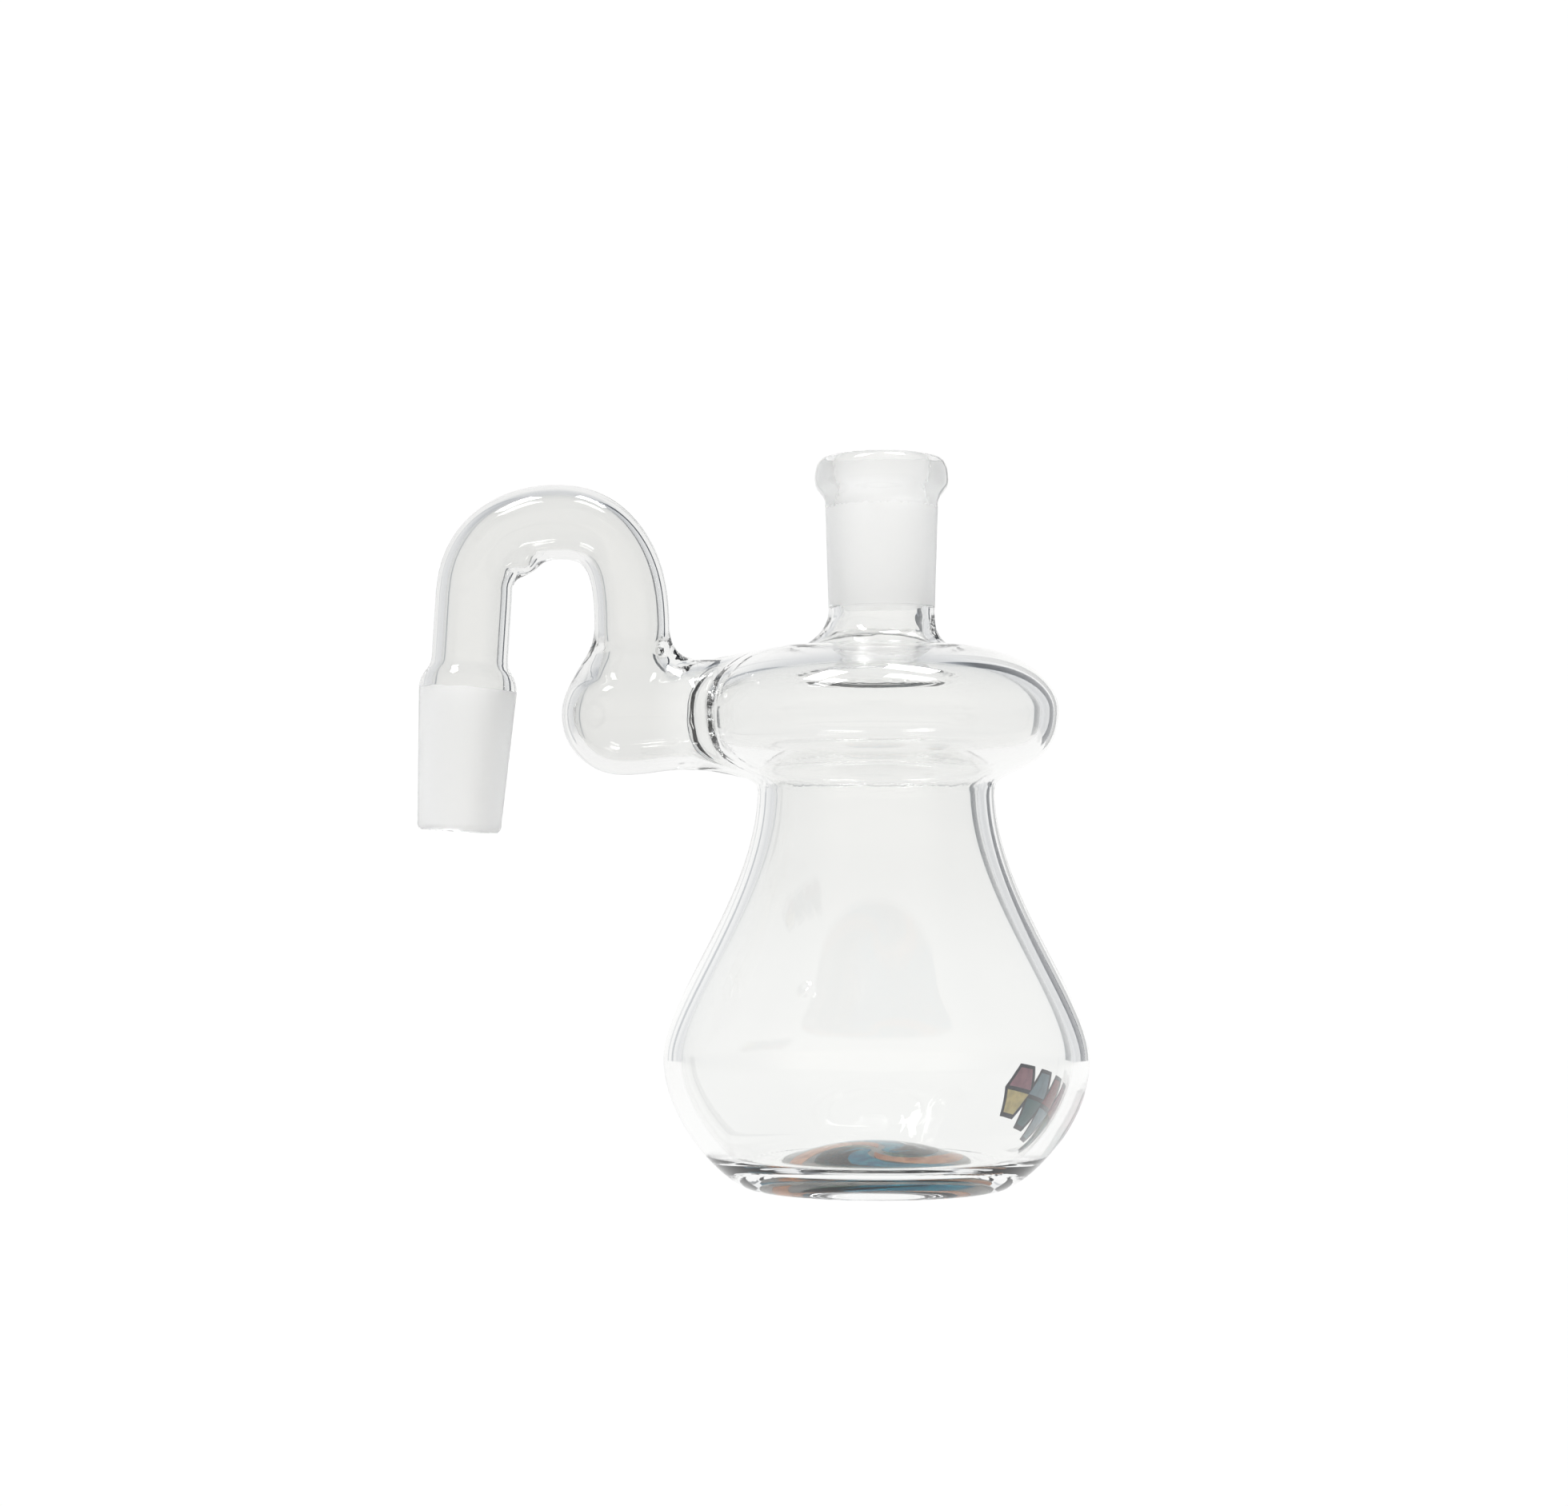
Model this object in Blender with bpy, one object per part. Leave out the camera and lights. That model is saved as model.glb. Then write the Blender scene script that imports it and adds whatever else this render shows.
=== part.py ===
"""A dry catcher in clear borosilicate glass, as the sections that a glassblower fuses together.

Sizes are in metres and +Z is up. The origin is on the pear chamber's axis, on the surface that the foot
stands on. The side arm leaves the disc chamber towards -X, rises, turns over and ends in a male cone.
"""

import math

import bmesh
import bpy
from mathutils import Vector

MM = 0.001

# Clearances, and how finely the round shapes are divided.
SEAM = 0.3 * MM
MERGE = 0.001 * MM
VESSEL_SIDES = 40
TUBE_SIDES = 24
CURVE_STEPS = 6
FLANK_STEPS = 10
ARCH_STEPS = 8

# Pear chamber and foot.
BELLY_RADIUS = 31.5 * MM
BELLY_HEIGHT = 18.9 * MM
FOOT_RADIUS = 19.0 * MM
FOOT_THICKNESS = 4.5 * MM
FLANK_HEIGHT = 39.7 * MM
PEAR_WALL = 2.5 * MM

# Neck and disc chamber.
NECK_RADIUS = 17.6 * MM
DISC_RADIUS = 27.1 * MM
DISC_UNDERSIDE = 11.8 * MM
DISC_CROWN = 9.2 * MM

# Socket joint, 14.5 mm at the mouth with a 1 in 10 taper, and its clear stub, welded a little off centre.
JOINT_DIAMETER = 14.5 * MM
JOINT_TAPER = 0.1
SOCKET_LENGTH = 22.8 * MM
SOCKET_WALL = 1.7 * MM
SOCKET_SWELL = 0.5 * MM
LIP_HEIGHT = 7.0 * MM
LIP_OVERHANG = 1.0 * MM
LIP_FLAT = 1.1 * MM
STUB_HEIGHT = 5.9 * MM
STUB_FLARE = 4.1 * MM
SOCKET_SHIFT = 0.9 * MM

# Side arm: port, elbow bulb and bent tube.
PORT_DROP = 0.6 * MM
ELBOW_REACH = 8.8 * MM
ELBOW_RADIUS = 8.2 * MM
BULB_RADIUS = 8.9 * MM
BULB_SHIFT = 1.5 * MM
ELBOW_WALL = 2.0 * MM
COLLAR_LENGTH = 0.9 * MM
COLLAR_FLARE = 1.6 * MM
COLLAR_SINK = 8.0 * MM
RISER_HEIGHT = 12.6 * MM
TUBE_RADIUS = 5.6 * MM
TUBE_WALL = 1.4 * MM
ARCH_RISE = 16.2 * MM
ARCH_LEAD = 10.9 * MM
LEG_SPACING = 24.1 * MM
LEG_DROP = 20.0 * MM
LEG_LEAN = math.radians(3.4)

# Male cone at the end of the arm, of the same joint size, and its clear stub.
CONE_LENGTH = 21.2 * MM
CONE_WALL = 1.7 * MM
CONE_TIP_ROUND = 0.7 * MM
CONE_STUB_LENGTH = 5.0 * MM

# Coloured medallion in the underside of the foot, and printed badge on the back of the pear.
MEDALLION_RADIUS = 13.8 * MM
MEDALLION_THICKNESS = 1.2 * MM
BADGE_LOW = 7.2 * MM
BADGE_HIGH = 16.0 * MM
BADGE_THICKNESS = 0.3 * MM
BADGE_START = math.radians(-2.0)
BADGE_SWEEP = math.radians(50.0)

# How full each curve of the vessel's outline is, as shares of the curve's own height or width.
CROWN_REACH = 0.556
CROWN_LIFT = 0.093
CROWN_DROP = 0.527
UNDERSIDE_DROP = 0.86
UNDERSIDE_NECK = 0.314
FLANK_NECK = 0.388
FLANK_BELLY = 0.232
FOOT_BELLY = 0.47
FOOT_REACH = 0.314
FOOT_LIFT = 0.049

# How full each half of the bent tube's arch is, as shares of its rise, spread or drop.
ARCH_LIFT = 0.55
ARCH_TURN_IN = 0.85
ARCH_TURN_OUT = 0.72
LEG_START = 0.5
LEG_LIFT = 0.2

# Heights and places that follow from the sizes above.
NECK_Z = BELLY_HEIGHT + FLANK_HEIGHT
RIM_Z = NECK_Z + DISC_UNDERSIDE
CROWN_Z = RIM_Z + DISC_CROWN
SOCKET_Z = CROWN_Z + STUB_HEIGHT
MOUTH_Z = SOCKET_Z + SOCKET_LENGTH
MOUTH_RADIUS = JOINT_DIAMETER / 2
SOCKET_END_BORE = MOUTH_RADIUS - SOCKET_LENGTH * JOINT_TAPER / 2
SOCKET_END_RADIUS = SOCKET_END_BORE + SOCKET_WALL
STUB_FOOT_RADIUS = SOCKET_END_RADIUS + STUB_FLARE
ARM_Z = RIM_Z - PORT_DROP
RISER_X = -(DISC_RADIUS + ELBOW_REACH)
BULB_X = RISER_X - BULB_SHIFT
ELBOW_END_X = -(DISC_RADIUS + COLLAR_LENGTH)
RISER_FOOT_RADIUS = ELBOW_REACH - COLLAR_LENGTH - SEAM
RISER_TOP_Z = ARM_Z + RISER_HEIGHT
APEX_X = RISER_X - ARCH_LEAD
APEX_Z = RISER_TOP_Z + ARCH_RISE
LEG_X = RISER_X - LEG_SPACING
LEG_END = Vector((LEG_X, 0, APEX_Z - LEG_DROP))
LEG_DOWN = Vector((-math.sin(LEG_LEAN), 0, -math.cos(LEG_LEAN)))
CONE_TOP_RADIUS = JOINT_DIAMETER / 2
CONE_TIP_RADIUS = CONE_TOP_RADIUS - CONE_LENGTH * JOINT_TAPER / 2

GLASS = ("clear_glass", (0.86, 0.90, 0.89), 0.05)
GROUND_GLASS = ("ground_glass", (0.90, 0.90, 0.89), 0.60)
COLOURED_GLASS = ("coloured_glass", (0.10, 0.33, 0.42), 0.15)
PRINT = ("print_ink", (0.09, 0.11, 0.20), 0.35)


def clear_scene():
    for item in list(bpy.data.objects):
        bpy.data.objects.remove(item, do_unlink=True)


def material(finish):
    name, colour, roughness = finish
    made = bpy.data.materials.get(name) or bpy.data.materials.new(name)
    made.use_nodes = True
    shader = made.node_tree.nodes["Principled BSDF"]
    shader.inputs["Base Color"].default_value = (*colour, 1.0)
    shader.inputs["Roughness"].default_value = roughness
    shader.inputs["Metallic"].default_value = 0.0
    return made


def cubic(start, start_handle, end_handle, end, steps=CURVE_STEPS):
    """Points on one cubic curve, with both ends."""
    points = []
    for step in range(steps + 1):
        t = step / steps
        s = 1 - t
        weights = (s**3, 3 * s * s * t, 3 * s * t * t, t**3)
        corners = (start, start_handle, end_handle, end)
        pairs = list(zip(weights, corners))
        points.append(tuple(sum(w * c[axis] for w, c in pairs) for axis in range(len(start))))
    return points


def vessel_wall():
    """The outer outline of disc, pear and foot as (radius, height), from the stub seam to the flat."""
    crown_width = DISC_RADIUS - STUB_FOOT_RADIUS
    foot_width = BELLY_RADIUS - FOOT_RADIUS
    crown = cubic(
        (STUB_FOOT_RADIUS, CROWN_Z),
        (STUB_FOOT_RADIUS + CROWN_REACH * crown_width, CROWN_Z + CROWN_LIFT * DISC_CROWN),
        (DISC_RADIUS, RIM_Z + CROWN_DROP * DISC_CROWN),
        (DISC_RADIUS, RIM_Z),
    )
    underside = cubic(
        (DISC_RADIUS, RIM_Z),
        (DISC_RADIUS, RIM_Z - UNDERSIDE_DROP * DISC_UNDERSIDE),
        (NECK_RADIUS, NECK_Z + UNDERSIDE_NECK * DISC_UNDERSIDE),
        (NECK_RADIUS, NECK_Z),
    )
    flank = cubic(
        (NECK_RADIUS, NECK_Z),
        (NECK_RADIUS, NECK_Z - FLANK_NECK * FLANK_HEIGHT),
        (BELLY_RADIUS, BELLY_HEIGHT + FLANK_BELLY * FLANK_HEIGHT),
        (BELLY_RADIUS, BELLY_HEIGHT),
        FLANK_STEPS,
    )
    foot = cubic(
        (BELLY_RADIUS, BELLY_HEIGHT),
        (BELLY_RADIUS, BELLY_HEIGHT - FOOT_BELLY * BELLY_HEIGHT),
        (FOOT_RADIUS + FOOT_REACH * foot_width, FOOT_LIFT * BELLY_HEIGHT),
        (FOOT_RADIUS, 0.0),
    )
    return crown + underside[1:] + flank[1:] + foot[1:]


def inset(outline, depth):
    """The outline moved inwards by depth, for one that runs down its outer side."""
    moved = []
    for i, (radius, height) in enumerate(outline):
        before = outline[max(i - 1, 0)]
        after = outline[min(i + 1, len(outline) - 1)]
        along = Vector((after[0] - before[0], after[1] - before[1])).normalized()
        moved.append((radius + along.y * depth, height - along.x * depth))
    return moved


def at_height(start, end, height):
    share = (height - start[1]) / (end[1] - start[1])
    return (start[0] + share * (end[0] - start[0]), height)


def clipped(outline, top, bottom):
    """The stretch of a falling outline between two heights, cut square at both."""
    kept = []
    for start, end in zip(outline, outline[1:]):
        for limit in (top, bottom):
            if start[1] > limit >= end[1]:
                kept.append(at_height(start, end, limit))
        if bottom < end[1] < top:
            kept.append(end)
    return kept


def below_start(outline, bottom):
    """The stretch of the outline from its first point down to a height."""
    first_fall = next(i for i, point in enumerate(outline) if point[1] < RIM_Z)
    return outline[:first_fall] + clipped(outline, outline[first_fall - 1][1], bottom)[1:]


def finish(builder, name, look):
    """Turns a bmesh into a named object with smooth round faces and crisp edges."""
    bmesh.ops.remove_doubles(builder, verts=builder.verts, dist=MERGE)
    bmesh.ops.recalc_face_normals(builder, faces=builder.faces)
    mesh = bpy.data.meshes.new(name)
    builder.to_mesh(mesh)
    builder.free()
    mesh.shade_smooth()
    mesh.set_sharp_from_angle(angle=math.radians(35))
    mesh.materials.append(material(look))
    made = bpy.data.objects.new(name, mesh)
    bpy.context.scene.collection.objects.link(made)
    return made


def turned(name, outline, look, sides, sweep=math.tau):
    """A closed body turned about Z from a closed outline of (radius, height) points."""
    builder = bmesh.new()
    points = [builder.verts.new((radius, 0, height)) for radius, height in outline]
    if sweep < math.tau:
        shape = [builder.faces.new(points)]
    else:
        pairs = zip(points, points[1:] + points[:1])
        shape = [builder.edges.new(pair) for pair in pairs if max(v.co.x for v in pair) > MERGE]
    bmesh.ops.spin(
        builder,
        geom=points + shape,
        cent=(0, 0, 0),
        axis=(0, 0, 1),
        angle=sweep,
        steps=sides,
        use_merge=sweep >= math.tau,
    )
    return finish(builder, name, look)


def swept_tube(name, path, radii, look, sides):
    """A pipe along a path in the XZ plane, with a ring of each of two radii at every point."""
    builder = bmesh.new()
    across = Vector((0, 1, 0))
    walls = []
    for radius in radii:
        rings = []
        for i, point in enumerate(path):
            before = path[max(i - 1, 0)]
            after = path[min(i + 1, len(path) - 1)]
            outward = across.cross((after - before).normalized())
            ring = []
            for side in range(sides):
                angle = math.tau * side / sides
                offset = across * math.sin(angle) + outward * math.cos(angle)
                ring.append(builder.verts.new(point + radius * offset))
            rings.append(ring)
        walls.append(rings)
    for rings in walls:
        for lower, upper in zip(rings, rings[1:]):
            bridge(builder, lower, upper)
    for end in (0, -1):
        bridge(builder, walls[0][end], walls[1][end])
    return finish(builder, name, look)


def bridge(builder, first, second):
    count = len(first)
    for i in range(count):
        j = (i + 1) % count
        builder.faces.new((first[i], first[j], second[j], second[i]))


def helper(made):
    """Marks an object as a cutter or a form that only shapes another."""
    made.hide_render = True
    made.display_type = "WIRE"
    return made


def combine(target, other, operation):
    modifier = target.modifiers.new(f"{operation.lower()}_{other.name}", "BOOLEAN")
    modifier.operation = operation
    modifier.solver = "EXACT"
    modifier.object = other
    return target


def along_arm(made, x, z=ARM_Z):
    """Lays a body that was turned about Z along the arm, its own +Z towards -X."""
    made.rotation_euler = (0, -math.pi / 2, 0)
    made.location = (x, 0, z)
    return made


def build_pear(parent):
    outer = vessel_wall()
    top = NECK_Z - SEAM / 2
    bottom = FOOT_THICKNESS + SEAM / 2
    outside = clipped(outer, top, bottom)
    inside = clipped(inset(outer, PEAR_WALL), top, bottom)
    turned("pear_chamber", outside + inside[::-1], GLASS, VESSEL_SIDES).parent = parent


def build_foot(parent):
    side = clipped(vessel_wall(), FOOT_THICKNESS - SEAM / 2, 0.0)
    recess = MEDALLION_RADIUS + SEAM
    roof = MEDALLION_THICKNESS + SEAM
    outline = [(0.0, side[0][1])] + side + [(recess, 0.0), (recess, roof), (0.0, roof)]
    turned("foot_puck", outline, GLASS, VESSEL_SIDES).parent = parent


def build_medallion(parent):
    edge = MEDALLION_THICKNESS
    outline = [(0.0, edge), (MEDALLION_RADIUS, edge), (MEDALLION_RADIUS, 0.0), (0.0, 0.0)]
    turned("foot_medallion", outline, COLOURED_GLASS, VESSEL_SIDES).parent = parent


def build_disc(parent):
    outer = vessel_wall()
    bottom = NECK_Z + SEAM / 2
    outside = below_start(outer, bottom)
    inside = below_start(inset(outer, PEAR_WALL), bottom)
    disc = turned("disc_chamber", outside + inside[::-1], GLASS, VESSEL_SIDES)
    bore = ELBOW_RADIUS - ELBOW_WALL
    outline = [(0.0, DISC_RADIUS), (bore, DISC_RADIUS), (bore, 0.0), (0.0, 0.0)]
    drill = helper(along_arm(turned("port_drill", outline, GLASS, TUBE_SIDES), -NECK_RADIUS))
    combine(disc, drill, "DIFFERENCE").parent = parent
    drill.parent = parent


def stub_curve(top_radius, foot_radius, foot_height):
    top = (top_radius, SOCKET_Z - SEAM / 2)
    waist = (top_radius, SOCKET_Z - STUB_HEIGHT / 2)
    spread = (top_radius + (foot_radius - top_radius) / 2, foot_height + STUB_HEIGHT / 8)
    return cubic(top, waist, spread, (foot_radius, foot_height))


def build_socket_stub(parent):
    seam_radius = STUB_FOOT_RADIUS - SEAM
    outside = stub_curve(SOCKET_END_RADIUS, seam_radius, CROWN_Z)
    inside = stub_curve(SOCKET_END_BORE, seam_radius, CROWN_Z - PEAR_WALL)
    stub = turned("socket_stub", outside + inside[::-1], GLASS, TUBE_SIDES)
    for vertex in stub.data.vertices:
        share = (vertex.co.z - CROWN_Z) / (SOCKET_Z - CROWN_Z)
        vertex.co.x += SOCKET_SHIFT * min(max(share, 0.0), 1.0)
    stub.parent = parent


def build_socket(parent):
    bottom = SOCKET_Z + SEAM / 2
    shank = (SOCKET_END_RADIUS + SOCKET_SWELL, MOUTH_Z - LIP_HEIGHT)
    lip_radius = MOUTH_RADIUS + SOCKET_WALL + LIP_OVERHANG
    lip = (lip_radius, MOUTH_Z - LIP_HEIGHT / 2)
    flat_outer = (MOUTH_RADIUS + LIP_FLAT, MOUTH_Z)
    flat_inner = (MOUTH_RADIUS + LIP_FLAT / 4, MOUTH_Z)
    bore_top = (MOUTH_RADIUS, MOUTH_Z - LIP_FLAT / 2)
    over = cubic(flat_outer, (lip_radius - LIP_FLAT / 2, MOUTH_Z), (lip_radius, MOUTH_Z - LIP_FLAT), lip)
    under = cubic(lip, (lip_radius, lip[1] - LIP_FLAT), (shank[0], shank[1] + LIP_FLAT), shank)
    wall = [(SOCKET_END_RADIUS, bottom), (SOCKET_END_BORE, bottom)]
    outline = over + under[1:] + wall + [bore_top, flat_inner]
    socket = turned("ground_socket", outline, GROUND_GLASS, TUBE_SIDES)
    socket.location.x = SOCKET_SHIFT
    socket.parent = parent


def build_collar(parent):
    """The fused ring between disc and elbow: flared, and shaped to the disc's rim."""
    bore = ELBOW_RADIUS - ELBOW_WALL
    reach = COLLAR_LENGTH + COLLAR_SINK
    mouth = ELBOW_RADIUS + COLLAR_FLARE
    flare = cubic(
        (ELBOW_RADIUS, reach - SEAM / 2),
        (ELBOW_RADIUS, reach - COLLAR_LENGTH),
        (ELBOW_RADIUS, COLLAR_SINK),
        (mouth, 0.0),
    )
    outline = flare + [(bore, 0.0), (bore, reach - SEAM / 2)]
    collar = turned("port_collar", outline, GLASS, TUBE_SIDES)
    along_arm(collar, ELBOW_END_X + reach)
    shape = [(0.0, CROWN_Z + SEAM)] + inset(below_start(vessel_wall(), NECK_Z), -SEAM) + [(0.0, NECK_Z)]
    shape[1] = (shape[1][0], CROWN_Z + SEAM)
    form = helper(turned("disc_form", shape, GLASS, VESSEL_SIDES))
    combine(collar, form, "DIFFERENCE").parent = parent
    form.parent = parent


def elbow_run(radius, bulb_radius, start):
    """A round-ended bar from the seam with the collar to the far side of the bulb."""
    length = ELBOW_END_X - BULB_X
    swell = cubic((radius, start), (radius, length / 2), (bulb_radius, length / 2), (bulb_radius, length))
    cap = []
    for step in range(1, CURVE_STEPS + 1):
        angle = math.pi / 2 * step / CURVE_STEPS
        cap.append((bulb_radius * math.cos(angle), length + bulb_radius * math.sin(angle)))
    cap[-1] = (0.0, length + bulb_radius)
    return ([(0.0, start)] + swell + cap)[::-1]


def riser_run(radius, foot_radius, top):
    """The flared branch that rises from the bulb to the bent tube."""
    low = ARM_Z + BULB_RADIUS / 4
    return [(0.0, top)] + cubic(
        (radius, top),
        (radius, top - RISER_HEIGHT / 3),
        (foot_radius, low + RISER_HEIGHT / 2),
        (foot_radius, low),
    ) + [(0.0, low)]


def build_elbow(parent):
    start = SEAM / 2
    top = RISER_TOP_Z - SEAM / 2
    run = elbow_run(ELBOW_RADIUS, BULB_RADIUS, start)
    elbow = along_arm(turned("elbow_bulb", run, GLASS, TUBE_SIDES), ELBOW_END_X)
    riser = turned("riser_form", riser_run(TUBE_RADIUS, RISER_FOOT_RADIUS, top), GLASS, TUBE_SIDES)
    hollow = elbow_run(ELBOW_RADIUS - ELBOW_WALL, BULB_RADIUS - ELBOW_WALL, -ELBOW_WALL)
    bore = along_arm(turned("elbow_bore", hollow, GLASS, TUBE_SIDES), ELBOW_END_X)
    rising = riser_run(TUBE_RADIUS - TUBE_WALL, RISER_FOOT_RADIUS - ELBOW_WALL, top + ELBOW_WALL)
    riser_bore = turned("riser_bore", rising, GLASS, TUBE_SIDES)
    for piece in (riser, riser_bore):
        piece.location.x = RISER_X
    combine(elbow, helper(riser), "UNION")
    combine(elbow, helper(bore), "DIFFERENCE")
    combine(elbow, helper(riser_bore), "DIFFERENCE")
    for piece in (elbow, riser, bore, riser_bore):
        piece.parent = parent


def gooseneck_path():
    """The centreline of the bent tube, from the elbow over the arch to the cone stub."""
    start = Vector((RISER_X, 0, RISER_TOP_Z + SEAM / 2))
    apex = Vector((APEX_X, 0, APEX_Z))
    end = LEG_END - LEG_DOWN * SEAM / 2
    shoulder = end - LEG_DOWN * (LEG_DROP * LEG_START)
    spread = LEG_SPACING - ARCH_LEAD
    rise = cubic(
        start,
        start + Vector((0, 0, ARCH_RISE * ARCH_LIFT)),
        apex + Vector((ARCH_LEAD * ARCH_TURN_IN, 0, 0)),
        apex,
        ARCH_STEPS,
    )
    fall = cubic(
        apex,
        apex - Vector((spread * ARCH_TURN_OUT, 0, 0)),
        shoulder - LEG_DOWN * (LEG_DROP * LEG_LIFT),
        shoulder,
        ARCH_STEPS,
    )
    return [Vector(point) for point in rise + fall[1:]] + [end]


def build_gooseneck(parent):
    radii = (TUBE_RADIUS, TUBE_RADIUS - TUBE_WALL)
    swept_tube("gooseneck_tube", gooseneck_path(), radii, GLASS, TUBE_SIDES).parent = parent


def along_leg(made, distance):
    """Hangs a body that was turned about Z on the leaning leg, its own +Z back up the leg."""
    made.rotation_euler = (0, LEG_LEAN, 0)
    made.location = LEG_END + LEG_DOWN * distance
    return made


def build_cone_stub(parent):
    top = CONE_STUB_LENGTH - SEAM / 2
    bottom = SEAM / 2
    middle = CONE_STUB_LENGTH / 2
    outside = cubic((TUBE_RADIUS, top), (TUBE_RADIUS, middle), (CONE_TOP_RADIUS, middle), (CONE_TOP_RADIUS, bottom))
    bore = TUBE_RADIUS - TUBE_WALL
    lower_bore = CONE_TOP_RADIUS - CONE_WALL
    inside = cubic((bore, top), (bore, middle), (lower_bore, middle), (lower_bore, bottom))
    stub = turned("cone_stub", outside + inside[::-1], GLASS, TUBE_SIDES)
    along_leg(stub, CONE_STUB_LENGTH).parent = parent


def build_cone(parent):
    top = CONE_LENGTH - SEAM / 2
    tip_bore = CONE_TIP_RADIUS - CONE_WALL
    outline = [
        (CONE_TOP_RADIUS, top),
        (CONE_TIP_RADIUS, CONE_TIP_ROUND),
        (CONE_TIP_RADIUS - CONE_TIP_ROUND / 2, 0.0),
        (tip_bore, 0.0),
        (CONE_TOP_RADIUS - CONE_WALL, top),
    ]
    cone = turned("ground_cone", outline, GROUND_GLASS, TUBE_SIDES)
    along_leg(cone, CONE_STUB_LENGTH + CONE_LENGTH).parent = parent


def build_badge(parent):
    """A thin printed patch that follows the lower back right of the pear."""
    inner = clipped(inset(vessel_wall(), -SEAM), BADGE_HIGH, BADGE_LOW)
    outer = clipped(inset(vessel_wall(), -SEAM - BADGE_THICKNESS), BADGE_HIGH, BADGE_LOW)
    badge = turned("printed_badge", outer + inner[::-1], PRINT, CURVE_STEPS, BADGE_SWEEP)
    badge.rotation_euler.z = BADGE_START
    badge.parent = parent


def main():
    clear_scene()
    vessel = bpy.data.objects.new("vessel", None)
    arm = bpy.data.objects.new("side_arm", None)
    for holder in (vessel, arm):
        bpy.context.scene.collection.objects.link(holder)
    arm.parent = vessel
    for build in (build_pear, build_foot, build_medallion, build_disc, build_socket_stub):
        build(vessel)
    build_socket(vessel)
    build_badge(vessel)
    for build in (build_collar, build_elbow, build_gooseneck, build_cone_stub, build_cone):
        build(arm)


main()
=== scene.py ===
"""A dry catcher in clear borosilicate glass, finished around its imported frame.

The glassblower's sections are fused into one piece of glass here, as they are on the real one: rounded
welds, fire-polished lips, ground joints, a coloured medallion under the foot and a printed badge.
Sizes in this file are in millimetres until a mesh is made, and +Z is up.
"""

import math

import bmesh
import bpy
import numpy as np
from mathutils import Matrix, Vector


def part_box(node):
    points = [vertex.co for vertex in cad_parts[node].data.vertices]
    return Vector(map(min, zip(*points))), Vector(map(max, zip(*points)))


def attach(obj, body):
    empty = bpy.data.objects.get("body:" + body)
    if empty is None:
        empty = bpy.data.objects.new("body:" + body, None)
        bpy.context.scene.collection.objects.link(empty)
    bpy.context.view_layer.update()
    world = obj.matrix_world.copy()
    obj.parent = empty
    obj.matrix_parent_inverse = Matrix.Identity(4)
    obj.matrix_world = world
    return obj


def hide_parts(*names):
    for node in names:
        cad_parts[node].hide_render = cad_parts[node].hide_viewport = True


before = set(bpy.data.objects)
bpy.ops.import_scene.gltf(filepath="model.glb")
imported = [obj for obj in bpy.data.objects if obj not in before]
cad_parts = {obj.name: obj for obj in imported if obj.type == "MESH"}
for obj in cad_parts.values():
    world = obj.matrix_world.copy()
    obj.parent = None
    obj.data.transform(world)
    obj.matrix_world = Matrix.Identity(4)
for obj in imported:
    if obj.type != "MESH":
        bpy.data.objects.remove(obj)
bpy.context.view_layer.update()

bl_info = {
    "name": "Glass Dry Catcher",
    "version": (1, 0, 0),
    "blender": (4, 5, 0),
    "location": "View3D > Sidebar > Dry Catcher",
    "description": "Makes a fused glass dry catcher with ground joints, a medallion and a badge",
    "category": "Object",
}

MM = 0.001

# Flow marks and a small bubble in the glass, in metres.
SHOULDER_WELD = (0.0805, 0.0845)
NECK_WELD = (0.0585, 0.0605)
PORT_WELD = (-0.0295, -0.0265)
SEED = (-0.0108, -0.0262, 0.0301)


def mm(node, corner, axis):
    """One face of a CAD section's box, in millimetres."""
    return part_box(node)[corner][axis] / MM


def metres(value):
    return value * MM


# Places that follow from the frame. Neighbouring CAD sections leave a seam of this width between them.
SEAM = 0.3
TUBE_RADIUS = 5.6
BELLY_RADIUS = mm("pear_chamber", 1, 0)
DISC_RADIUS = mm("disc_chamber", 1, 0)
NECK_Z = mm("pear_chamber", 1, 2) + SEAM / 2
MOUTH_Z = mm("ground_socket", 1, 2)
SOCKET_Z = mm("ground_socket", 0, 2) - SEAM / 2
SOCKET_X = (mm("ground_socket", 0, 0) + mm("ground_socket", 1, 0)) / 2
APEX_Z = mm("gooseneck_tube", 1, 2) - TUBE_RADIUS
RISER_TOP_Z = mm("elbow_bulb", 1, 2) + SEAM / 2


def length(name, value, about):
    return bpy.props.FloatProperty(
        name=name, description=about, default=metres(value), min=0.0, unit="LENGTH", subtype="DISTANCE"
    )


def number(name, value, about):
    return bpy.props.FloatProperty(name=name, description=about, default=value, min=0.0)


def colour(name, value, about):
    return bpy.props.FloatVectorProperty(
        name=name, description=about, default=value, min=0.0, max=1.0, size=3, subtype="COLOR"
    )


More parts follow.
